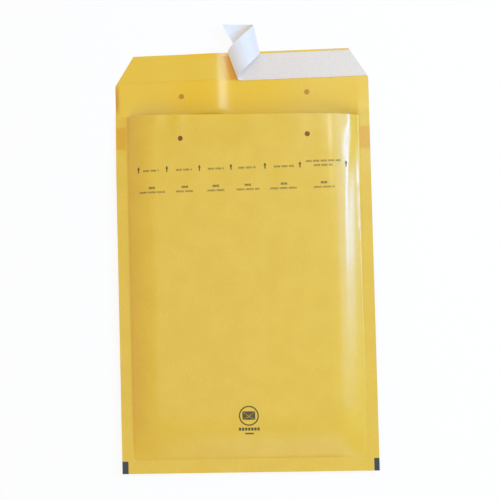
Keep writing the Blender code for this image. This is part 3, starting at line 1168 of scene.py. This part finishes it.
@dataclass
class BubbleFilm:
    """The lining: one web of bubble film folded at the foot, bubbles towards the paper.

    Attributes:
        form: Heights and widths of the paper round it.
        finish: The film's finish.
        holes: The clasp holes, which go through the film too.
        film: Thickness of the film that shows.
        bubble: Width of a bubble.
        bubble_height: Its height.
        pitch: Distance between two bubbles.
        below_lip: How far below the front's free edge the film ends.
        above_band: Distance of the film's fold from the pocket's sealed band.
        clearance: Room between the bubbles and the paper.
        middle_gap: How far each layer keeps off the middle of the pocket.
        edge: Width of the finer stretches of the film's grid.
    """

    form: PocketForm
    finish: BubbleFilmFinish
    holes: ClaspHoles
    film: float = 0.12 * MM
    bubble: float = 10.0 * MM
    bubble_height: float = 2.9 * MM
    pitch: float = 11.5 * MM
    below_lip: float = 9.0 * MM
    above_band: float = 4.1 * MM
    clearance: float = 0.7 * MM
    middle_gap: float = 0.2 * MM
    edge: float = 14.0 * MM

    def half_width(self, y: float) -> float:
        """Find half the film's width, drawn in where the pocket's foot is rounded.

        Args:
            y: Place along the envelope.

        Returns:
            Half the width.
        """
        form = self.form
        foot = swell(y - form.foot - form.band, form.back_run)
        room = clamp(0.31 / max(foot, 0.01))
        return form.seam_in - form.back_run * (1.0 - math.sqrt(1.0 - room))

    def layer(self, x: float, y: float, front: bool) -> float:
        """Find the height of a layer's film, a bubble inside the paper and off the middle.

        Args:
            x: Place across the envelope.
            y: Place along it.
            front: Whether it is the front layer.

        Returns:
            The height over the table.
        """
        form = self.form
        inset = self.clearance + self.bubble_height
        if front:
            return max(form.middle(x, y) + self.middle_gap, form.front(x, y) - inset)
        return min(form.middle(x, y) - self.middle_gap, form.back(x, y) + inset)

    def place(self, x: float, web: float) -> Point:
        """Find a point of the film's web.

        Args:
            x: Place across the web.
            web: Distance from its fold, negative on the front layer.

        Returns:
            The point.
        """
        form = self.form
        y = form.foot + form.band + self.above_band + abs(web)
        x *= self.half_width(y) / self.half_width(form.fold)
        height = self.layer(x, y, web < 0.0)
        near_fold = bell(web, 0.6 * MM)
        return (x, y, height + (form.seam_height - height) * near_fold)

    def dome(self) -> Mesh:
        """Spin one bubble from its profile.

        Returns:
            The bubble's mesh, with its rim at height 0.
        """
        bm = bmesh.new()
        radius = self.bubble / 2
        profile = ((radius, 0.0), (radius * 0.97, 0.45), (radius * 0.82, 0.83), (radius * 0.45, 1.0))
        points = [bm.verts.new((r, 0.0, h * self.bubble_height)) for r, h in profile]
        edges = [bm.edges.new(pair) for pair in zip(points, points[1:])]
        bmesh.ops.spin(bm, geom=points + edges, cent=(0, 0, 0), axis=(0, 0, 1),
                       angle=2 * math.pi, steps=14, use_merge=True, use_duplicate=False)
        bmesh.ops.remove_doubles(bm, verts=bm.verts, dist=1e-6)
        rims = [e for e in bm.edges if e.is_boundary]
        bmesh.ops.holes_fill(bm, edges=rims, sides=0)
        bmesh.ops.recalc_face_normals(bm, faces=bm.faces)
        stamp = bpy.data.meshes.new("bubble_stamp")
        bm.to_mesh(stamp)
        bm.free()
        return stamp

    def set_bubble(self, bm: BMesh, stamp: Mesh, x: float, y: float, front: bool) -> None:
        """Set one bubble on a layer, flatter where the paper leaves it less room.

        Args:
            bm: The mesh of all bubbles.
            stamp: Mesh of one bubble.
            x: Place across the envelope.
            y: Place along it.
            front: Whether it is on the front layer.
        """
        before = len(bm.verts)
        bm.from_mesh(stamp)
        bm.verts.ensure_lookup_table()
        fresh = bm.verts[before:]
        base = self.layer(x, y, front)
        paper = self.form.front(x, y) if front else self.form.back(x, y)
        room = abs(paper - base) - self.clearance / 2
        tall = clamp(room / self.bubble_height, 0.2, 1.0) * (1.0 if front else -1.0)
        bmesh.ops.scale(bm, vec=(1.0, 1.0, tall), verts=fresh)
        bmesh.ops.translate(bm, vec=(x, y, base), verts=fresh)
        if not front:
            faces = list({f for v in fresh for f in v.link_faces})
            bmesh.ops.reverse_faces(bm, faces=faces)

    def bubbles(self) -> Object:
        """Set all the bubbles of both layers, in staggered rows, clear of the clasp holes.

        Returns:
            The bubbles as one object.
        """
        form = self.form
        stamp = self.dome()
        bm = bmesh.new()
        reach = form.seam_in - form.side_run * 0.75 - self.bubble / 2
        count = int(reach / self.pitch + 1)
        y = form.fold - self.below_lip - self.bubble / 2 - 0.6 * MM
        row = 0
        while y > form.foot + form.band + form.foot_run * 0.8:
            for k in range(-count, count + 1):
                x = (k + 0.5 * (row % 2)) * self.pitch
                if abs(x) > reach or self.holes.distance(x, y) < self.bubble * 0.8:
                    continue
                for front in (True, False):
                    self.set_bubble(bm, stamp, x, y, front)
            y -= self.pitch * math.sqrt(0.75)
            row += 1
        return new_object("bubbles", bm)

    def build(self) -> Object:
        """Fold the film's web, give it its thickness and set the bubbles on it.

        Returns:
            The lining.
        """
        form = self.form
        half = self.half_width(form.fold)
        long = form.fold - self.below_lip - form.foot - form.band - self.above_band
        edge = self.edge
        columns = route((-half, -half + edge, 1.6 * MM), (-half + edge, half - edge, 4 * MM),
                        (half - edge, half, 1.6 * MM))
        rows = route((-long, -edge, 4 * MM), (-edge, -1 * MM, 1.6 * MM),
                     (-1 * MM, 1 * MM, 0.3 * MM), (1 * MM, edge, 1.6 * MM), (edge, long, 4 * MM))
        bm = bmesh.new()
        woven_grid(bm, columns, rows, self.place)
        film = new_object("bubble_film", bm)
        thicken(film, self.film)
        self.holes.cut(film, self.film)
        domes = self.bubbles()
        joined = bmesh.new()
        joined.from_mesh(film.data)
        joined.from_mesh(domes.data)
        joined.to_mesh(film.data)
        joined.free()
        bpy.data.objects.remove(domes)
        film.data.materials.clear()
        film.data.materials.append(self.finish.make())
        shade(film, 60.0)
        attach(film, BODY)
        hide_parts("bubble_liner")
        return film


@dataclass
class ReleaseStrip:
    """White release paper over the adhesive: flat on the right, rolled back on the left.

    Attributes:
        form: Heights of the flap that carries it.
        finish: The release paper's finish.
        width: Width of the strip.
        below_top: How far below the flap's edge it lies.
        thickness: Thickness of the strip that shows.
        lift: How high it lies over the flap's paper.
        peel_x: Where across the envelope its lower edge leaves the flap.
        arcs: The curl's section as arcs of a radius and a turn in degrees.
        lean: Lean of the curl's axis from the envelope's length, in degrees.
        twist: How much further it leans at the free end.
        widening: How much wider the curl gets for each metre along its axis.
        end_cut: How much shorter the strip is at its lower edge, where it was torn off.
        right_gap: How far from the flap's right edge the strip ends.
    """

    form: PocketForm
    finish: ReleasePaperFinish
    width: float = 20.5 * MM
    below_top: float = 1.6 * MM
    thickness: float = 0.1 * MM
    lift: float = 0.45 * MM
    peel_x: float = 1.9 * MM
    arcs: tuple[tuple[float, float], ...] = (
        (3.4 * MM, 110.0), (9.9 * MM, 61.0), (13.8 * MM, 61.0), (2.1 * MM, 126.0),
        (24.7 * MM, 31.0))
    lean: float = 16.6
    twist: float = 7.9
    widening: float = 10.0
    end_cut: float = 2.0 * MM
    right_gap: float = 0.2 * MM

    @property
    def low(self) -> float:
        """The strip's edge nearer to the pocket."""
        return self.form.top - self.below_top - self.width

    @property
    def length(self) -> float:
        """Length of the curl from the peel line to the free end."""
        return sum(radius * math.radians(turn) for radius, turn in self.arcs)

    def section(self, length: float) -> tuple[float, float]:
        """Follow the curl's section.

        Args:
            length: Arc length from the peel line.

        Returns:
            The way back along the strip and the height there.
        """
        heading, along, height = 0.0, 0.0, 0.0
        for radius, turn in self.arcs:
            angle = min(math.radians(turn), length / radius)
            along += radius * (math.sin(heading + angle) - math.sin(heading))
            height += radius * (math.cos(heading) - math.cos(heading + angle))
            heading += angle
            length -= radius * angle
        return along, height

    def peel(self, w: float) -> float:
        """Where across the envelope the strip leaves the flap, at a height w of its width."""
        return self.peel_x - w * math.tan(math.radians(self.lean))

    def place(self, w: float, along: float) -> Point:
        """Find a point of the strip.

        Args:
            w: Height of the strip's width, 0 at the edge nearer to the pocket.
            along: 0 at the peel line, 1 at the right end, and less than 0 by the arc length
                in the curl.

        Returns:
            The point.
        """
        y = self.low + w
        start = self.peel(w)
        lift = self.lift + self.form.paper / 2
        if along >= 0.0:
            x = start + (self.form.half_width(y) - self.right_gap - start) * along
            return (x, y, self.form.back(x, y) + lift)
        tail = self.arcs[-1][0] * math.radians(self.arcs[-1][1])
        left = self.length + along
        cut = self.end_cut * (1.0 - w / self.width) * clamp(1.0 - left / tail)
        length = -along - cut
        lean = math.radians(self.lean + self.twist * -along / self.length)
        axial = (w + length * math.sin(lean)) / math.cos(lean)
        back, height = (value * (1.0 + self.widening * axial) for value in self.section(length))
        x = self.peel_x - back * math.cos(lean) - axial * math.sin(lean)
        y = self.low - back * math.sin(lean) + axial * math.cos(lean)
        return (x, y, self.form.back(start, self.low + w) + lift + height)

    def build(self) -> Object:
        """Lay the flat stretch, roll the curl, and dress the strip.

        Returns:
            The strip.
        """
        bm = bmesh.new()
        columns = steps(0.0, self.width, 0.8 * MM)
        rows = route((-self.length, -0.6 * MM, 0.6 * MM), (-0.6 * MM, 0.0, 0.3 * MM),
                     (0.0, 1.0, 0.015))
        woven_grid(bm, columns, rows, self.place)
        strip = new_object("release_paper", bm)
        for side in Side:
            strip.data.materials.append(self.finish.make(side))
        thicken(strip, self.thickness, 0.0, 1)
        shade(strip, 45.0)
        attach(strip, BODY)
        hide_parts("release_strip")
        return strip


@dataclass
class AdhesiveBand:
    """Band of hot-melt adhesive across the flap, under the release strip.

    Attributes:
        form: Heights of the flap that carries it.
        finish: The adhesive's finish.
        strip: The release strip that covers it.
        inset: How far inside the strip's and the flap's edges it ends.
        thickness: Thickness of the band.
        lift: How high its middle lies over the flap's paper.
        waver: How far its edges waver.
    """

    form: PocketForm
    finish: AdhesiveFinish
    strip: ReleaseStrip
    inset: float = 1.2 * MM
    thickness: float = 0.12 * MM
    lift: float = 0.05 * MM
    waver: float = 0.25 * MM

    def place(self, share: float, y: float) -> Point:
        """Find a point of the band, which wavers as a coated edge does.

        Args:
            share: Place across the flap, -1 at the left end and 1 at the right.
            y: Place along the envelope.

        Returns:
            The point.
        """
        x = share * (self.form.half_width(y) - self.inset)
        edge = self.waver * ripple(x, y * 3, 5 * MM, 21.0)
        return (x, y + edge, self.form.back(x, y) + self.form.paper / 2 + self.lift)

    def build(self) -> Object:
        """Coat the band and dress it.

        Returns:
            The band.
        """
        low = self.strip.low + self.inset
        high = self.strip.low + self.strip.width - self.inset
        bm = bmesh.new()
        woven_grid(bm, steps(-1.0, 1.0, 0.015), steps(low, high, 1.2 * MM), self.place)
        band = new_object("adhesive_band", bm)
        thicken(band, self.thickness)
        band.data.materials.append(self.finish.make(self.strip))
        shade(band, 45.0)
        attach(band, BODY)
        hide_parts("adhesive_strip")
        return band


class Word(Enum):
    """Plain runs of small blocks that stand where a line of small print would be.

    Each has the size of one block, the gap after it and how many blocks make a word.
    """

    SMALL = (0.50 * MM, 1.50 * MM, 0.46 * MM, 6)
    FINE = (0.46 * MM, 1.40 * MM, 0.42 * MM, 8)
    HEAD = (0.66 * MM, 1.75 * MM, 0.36 * MM, 6)
    BOLD = (1.75 * MM, 2.30 * MM, 0.60 * MM, 7)


@dataclass
class FrontPrint:
    """What is printed on the front: opening arrows, plain lines of blocks, a letter sign.

    Attributes:
        form: Heights of the paper that carries the print.
        finish: The ink.
        above: How high the ink lies over the middle of the paper.
        film: Thickness of the ink that shows.
        arrow_y: Place of the arrows along the front.
        arrows: Their places across it, in mm.
        upper_y: Place of the lines between the arrows along the front.
        upper: Middle and length of each of these lines, in mm.
        wide_y: Place of the long line's upper half along the front.
        wide: Middle and length of the long line, in mm.
        lower_y: Place of the lower row along the front.
        lower: Middle and length of each line of the lower row, in mm.
        head_rise: How far above each line of the lower row its heading is.
        head_length: Length of a heading.
        sign: Middle of the round sign.
    """

    form: PocketForm
    finish: InkFinish
    above: float = 0.135 * MM
    film: float = 0.02 * MM
    arrow_y: float = 96.8 * MM
    arrows: tuple[float, ...] = (-80.3, -57.7, -32.4, -8.0, 18.2, 45.0, 80.1)
    upper_y: float = 96.0 * MM
    upper: tuple[tuple[float, float], ...] = (
        (-70.2, 13.3), (-44.5, 12.5), (-19.7, 13.3), (4.3, 14.0), (32.7, 15.6))
    wide_y: float = 99.4 * MM
    wide: tuple[float, float] = (62.7, 27.0)
    lower_y: float = 79.3 * MM
    lower: tuple[tuple[float, float], ...] = (
        (-69.7, 21.0), (-44.0, 14.8), (-20.0, 13.3), (4.7, 17.9), (32.4, 22.0), (63.0, 16.4))
    head_rise: float = 3.4 * MM
    head_length: float = 5.2 * MM
    sign: tuple[float, float] = (0.9 * MM, -93.6 * MM)

    def block(self, bm: BMesh, x: float, y: float, wide: float, tall: float) -> None:
        """Lay one plain rectangle, split so that it can bend with the paper.

        Args:
            bm: The mesh of the print.
            x: Middle of the rectangle across the front.
            y: Its middle along the front.
            wide: Its width.
            tall: Its height.
        """
        cells = max(1, round(wide / (2.2 * MM)))
        verts = bmesh.ops.create_grid(bm, x_segments=cells, y_segments=1, size=0.5)["verts"]
        bmesh.ops.scale(bm, vec=(wide, tall, 1.0), verts=verts)
        bmesh.ops.translate(bm, vec=(x, y, 0.0), verts=verts)

    def line(self, bm: BMesh, x: float, y: float, length: float, word: Word) -> None:
        """Lay a line of blocks, broken into words.

        Args:
            bm: The mesh of the print.
            x: Middle of the line across the front.
            y: Its middle along the front.
            length: Its length.
            word: Sizes of its blocks and words.
        """
        wide, tall, gap, letters = word.value
        pitch = wide + gap
        count = max(1, int(length / pitch))
        start = x - (count - 1) * pitch / 2
        for i in range(count):
            if i % letters == letters - 1 and count > letters:
                continue
            self.block(bm, start + i * pitch, y, wide, tall)

    def arrow(self, bm: BMesh, x: float, y: float) -> None:
        """Lay one small arrow that points to the flap.

        Args:
            bm: The mesh of the print.
            x: Middle of the arrow across the front.
            y: Its middle along the front.
        """
        self.block(bm, x, y - 0.9 * MM, 0.85 * MM, 2.5 * MM)
        head = bmesh.ops.create_circle(bm, cap_ends=True, segments=3, radius=1.0)["verts"]
        top = max(head, key=lambda v: v.co.y)
        tilt = math.atan2(top.co.x, top.co.y)
        bmesh.ops.rotate(bm, verts=head, cent=(0, 0, 0), matrix=Matrix.Rotation(tilt, 3, "Z"))
        bmesh.ops.scale(bm, vec=(1.30 * MM, 1.45 * MM, 1.0), verts=head)
        bmesh.ops.translate(bm, vec=(x, y + 1.1 * MM, 0.0), verts=head)

    def ring(self, bm: BMesh, x: float, y: float, radius: float, wide: float) -> None:
        """Lay one ring, turned from a short edge.

        Args:
            bm: The mesh of the print.
            x: Middle of the ring across the front.
            y: Its middle along the front.
            radius: Its outer radius.
            wide: Width of its line.
        """
        ends = [bm.verts.new((x + r, y, 0.0)) for r in (radius, radius - wide)]
        bmesh.ops.spin(bm, geom=ends + [bm.edges.new(ends)], cent=(x, y, 0.0), axis=(0, 0, 1),
                       angle=2 * math.pi, steps=56, use_merge=True, use_duplicate=False)
        bmesh.ops.remove_doubles(bm, verts=bm.verts, dist=1e-6)

    def letter(self, bm: BMesh, x: float, y: float, wide: float, tall: float) -> None:
        """Lay the sign of a closed letter: four folds with a gap between them.

        Args:
            bm: The mesh of the print.
            x: Middle of the letter across the front.
            y: Its middle along the front.
            wide: Its width.
            tall: Its height.
        """
        grid = bmesh.ops.create_grid(bm, x_segments=1, y_segments=1, size=0.5)["verts"]
        bmesh.ops.scale(bm, vec=(wide, tall, 1.0), verts=grid)
        bmesh.ops.translate(bm, vec=(x, y, 0.0), verts=grid)
        sheet = grid[0].link_faces[0]
        middle = bmesh.ops.poke(bm, faces=[sheet])
        bmesh.ops.translate(bm, vec=(0.0, -0.10 * tall, 0.0), verts=middle["verts"])
        folds = middle["faces"]
        rims = bmesh.ops.inset_individual(bm, faces=folds, thickness=0.24 * MM)["faces"]
        bmesh.ops.delete(bm, geom=rims, context="FACES")
        edges = list({edge for face in folds for edge in face.edges})
        bmesh.ops.subdivide_edges(bm, edges=edges, cuts=2, use_grid_fill=True)

    def build(self) -> Object:
        """Lay all the print flat, bend it over the front and dress it.

        Returns:
            The print.
        """
        bm = bmesh.new()
        for x in self.arrows:
            self.arrow(bm, x * MM, self.arrow_y)
        for x, length in self.upper:
            self.line(bm, x * MM, self.upper_y, length * MM, Word.SMALL)
        self.line(bm, self.wide[0] * MM, self.wide_y, self.wide[1] * MM, Word.SMALL)
        self.line(bm, self.wide[0] * MM, self.upper_y, self.wide[1] * 0.55 * MM, Word.SMALL)
        for x, length in self.lower:
            self.line(bm, x * MM, self.lower_y + self.head_rise, self.head_length, Word.HEAD)
            self.line(bm, x * MM, self.lower_y, length * MM, Word.FINE)
        x, y = self.sign
        self.ring(bm, x, y, 7.6 * MM, 0.95 * MM)
        self.letter(bm, x, y + 0.2 * MM, 10.0 * MM, 6.6 * MM)
        self.line(bm, x, y - 10.2 * MM, 17.0 * MM, Word.BOLD)
        self.block(bm, x, y - 13.6 * MM, 6.5 * MM, 1.1 * MM)
        for vert in bm.verts:
            vert.co = self.form.front_point(vert.co.x, vert.co.y, self.above)
        bmesh.ops.recalc_face_normals(bm, faces=bm.faces)
        flat = new_object("front_print", bm)
        thicken(flat, self.film, 1.0)
        flat.data.materials.append(self.finish.make())
        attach(flat, BODY)
        return flat


# The stage


@dataclass(frozen=True)
class Lamp:
    """One square softbox.

    Attributes:
        name: Name of the lamp.
        at: Where it hangs.
        target: What it faces.
        size: Width of its square.
        power: Its power in watts.
        colour: Its colour in linear values.
    """

    name: str
    at: Point
    target: Point
    size: float
    power: float
    colour: Point


@dataclass(frozen=True)
class Studio:
    """White table, a soft warm surround, cooler lamps, and the camera that looks down.

    Attributes:
        camera_at: Where the camera is.
        look_at: What it looks at.
        camera_up: What is up in the picture.
        focal_share: The lens' focal length over the sensor's width.
        sensor: Width of the sensor in millimetres.
        table_white: How much of the table's seen colour is plain white, the rest is shade.
        surround: Colour of the surround's light.
        surround_strength: Its strength.
        lamps: The softboxes: three from the upper right, one above, one at the foot.
    """

    camera_at: Point = (0.08698, -0.00726, 0.98839)
    look_at: Point = (0.00388, 0.03320, 0.0)
    camera_up: Point = (0.0288, 0.9988, 0.0385)
    focal_share: float = 1279.97 / 500.0
    sensor: float = 36.0
    table_white: float = 0.88
    surround: tuple[float, float, float, float] = (1.0, 0.840, 0.59, 1.0)
    surround_strength: float = 0.725
    lamps: tuple[Lamp, ...] = (
        Lamp("key", (0.95, 0.20, 0.62), (0.06, 0.04, 0.0), 0.24, 6.6, (0.17, 0.43, 1.0)),
        Lamp("window", (0.85, 0.20, 0.95), (0.0, 0.0, 0.0), 0.70, 6.0, (0.24, 0.50, 1.0)),
        Lamp("glint", (0.34, 0.46, 1.45), (0.0, 0.10, 0.0), 0.24, 3.0, (0.62, 0.80, 1.0)),
        Lamp("ceiling", (-0.10, -0.10, 1.50), (0.0, 0.0, 0.0), 0.85, 1.3, (0.5, 0.75, 1.0)),
        Lamp("front", (0.10, -1.00, 0.85), (0.0, -0.1, 0.0), 0.60, 1.6, (0.5, 0.8, 1.0)))

    def camera(self) -> None:
        """Set the camera where the photograph was taken from."""
        data = bpy.data.cameras.new("camera")
        data.sensor_width = self.sensor
        data.lens = self.sensor * self.focal_share
        camera = bpy.data.objects.new("camera", data)
        bpy.context.scene.collection.objects.link(camera)
        back = (Vector(self.camera_at) - Vector(self.look_at)).normalized()
        right = Vector(self.camera_up).cross(back).normalized()
        turn = Matrix((right, back.cross(right), back)).transposed()
        camera.matrix_world = Matrix.Translation(self.camera_at) @ turn.to_4x4()
        bpy.context.scene.camera = camera

    def hang(self, lamp: Lamp) -> None:
        """Hang one softbox.

        Args:
            lamp: The softbox.
        """
        data = bpy.data.lights.new(lamp.name, "AREA")
        data.shape = "SQUARE"
        data.size = lamp.size
        data.energy = lamp.power
        data.color = lamp.colour
        hung = bpy.data.objects.new(lamp.name, data)
        bpy.context.scene.collection.objects.link(hung)
        hung.location = lamp.at
        facing = Vector(lamp.target) - Vector(lamp.at)
        hung.rotation_euler = facing.to_track_quat("-Z", "Y").to_euler()

    def seen(self, tree: NodeTree) -> NodeSocket:
        """Tell the rays that show the white surround from those that light the object.

        Args:
            tree: The node tree of the table or the world.

        Returns:
            1 for what the camera sees, straight or in a glossy or clear surface, otherwise 0.
        """
        ray = add_node(tree, "ShaderNodeLightPath").outputs
        direct = add_node(tree, "ShaderNodeMath", {
            0: ray["Is Camera Ray"], 1: ray["Is Glossy Ray"]}, operation="MAXIMUM")
        return add_node(tree, "ShaderNodeMath", {
            0: direct.outputs[0], 1: ray["Is Transmission Ray"]}, operation="MAXIMUM").outputs[0]

    def table(self) -> None:
        """Lay the white table, which keeps the object's shadow."""
        bm = bmesh.new()
        bmesh.ops.create_grid(bm, x_segments=1, y_segments=1, size=3.0)
        bmesh.ops.translate(bm, verts=bm.verts, vec=(0, 0, -0.2 * MM))
        table = new_object("table", bm)
        finish, tree, shader = blank_material("white_table")
        feed(tree, shader, {"Base Color": linear("#F4F4F4"), "Roughness": 0.8})
        glow = add_node(tree, "ShaderNodeEmission", {"Color": (1, 1, 1, 1), "Strength": 1.0})
        share = add_node(tree, "ShaderNodeMath", {0: self.seen(tree), 1: self.table_white},
                         operation="MULTIPLY")
        mix = add_node(tree, "ShaderNodeMixShader", {0: share.outputs[0], 1: shader.outputs[0],
                                                     2: glow.outputs[0]})
        tree.links.new(mix.outputs[0], tree.nodes["Material Output"].inputs["Surface"])
        table.data.materials.append(finish)

    def world(self) -> None:
        """Surround the table with soft warm light that the camera sees as white."""
        world = bpy.data.worlds.new("white_room")
        world.use_nodes = True
        tree = world.node_tree
        background = tree.nodes["Background"]
        feed(tree, background, {"Color": self.surround, "Strength": self.surround_strength})
        plain = add_node(tree, "ShaderNodeBackground", {0: (1.0, 1.0, 1.0, 1.0), 1: 1.0})
        mix = add_node(tree, "ShaderNodeMixShader", {0: self.seen(tree),
                                                     1: background.outputs[0],
                                                     2: plain.outputs[0]})
        tree.links.new(mix.outputs[0], tree.nodes["World Output"].inputs["Surface"])
        bpy.context.scene.world = world

    def build(self) -> None:
        """Set up the camera, the table and the light."""
        bpy.context.scene.view_settings.view_transform = "Standard"
        self.camera()
        self.table()
        self.world()
        for lamp in self.lamps:
            self.hang(lamp)


def main() -> None:
    """Build the stage and every piece, and log what was made."""
    logging.basicConfig(level=logging.INFO, format="%(name)s: %(message)s")
    Studio().build()
    low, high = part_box("kraft_sheet")
    form = PocketForm(Vector(low), Vector(high))
    strip = ReleaseStrip(form, ReleasePaperFinish())
    holes = ClaspHoles(form)
    makers = [
        KraftPaper(form, KraftFinish(), holes),
        BubbleFilm(form, BubbleFilmFinish(), holes),
        FrontPrint(form, InkFinish()),
        AdhesiveBand(form, AdhesiveFinish(), strip),
        strip,
    ]
    for maker in makers:
        piece = maker.build()
        LOG.info("%s: %d faces", piece.name, len(piece.data.polygons))


if __name__ == "__main__":
    main()
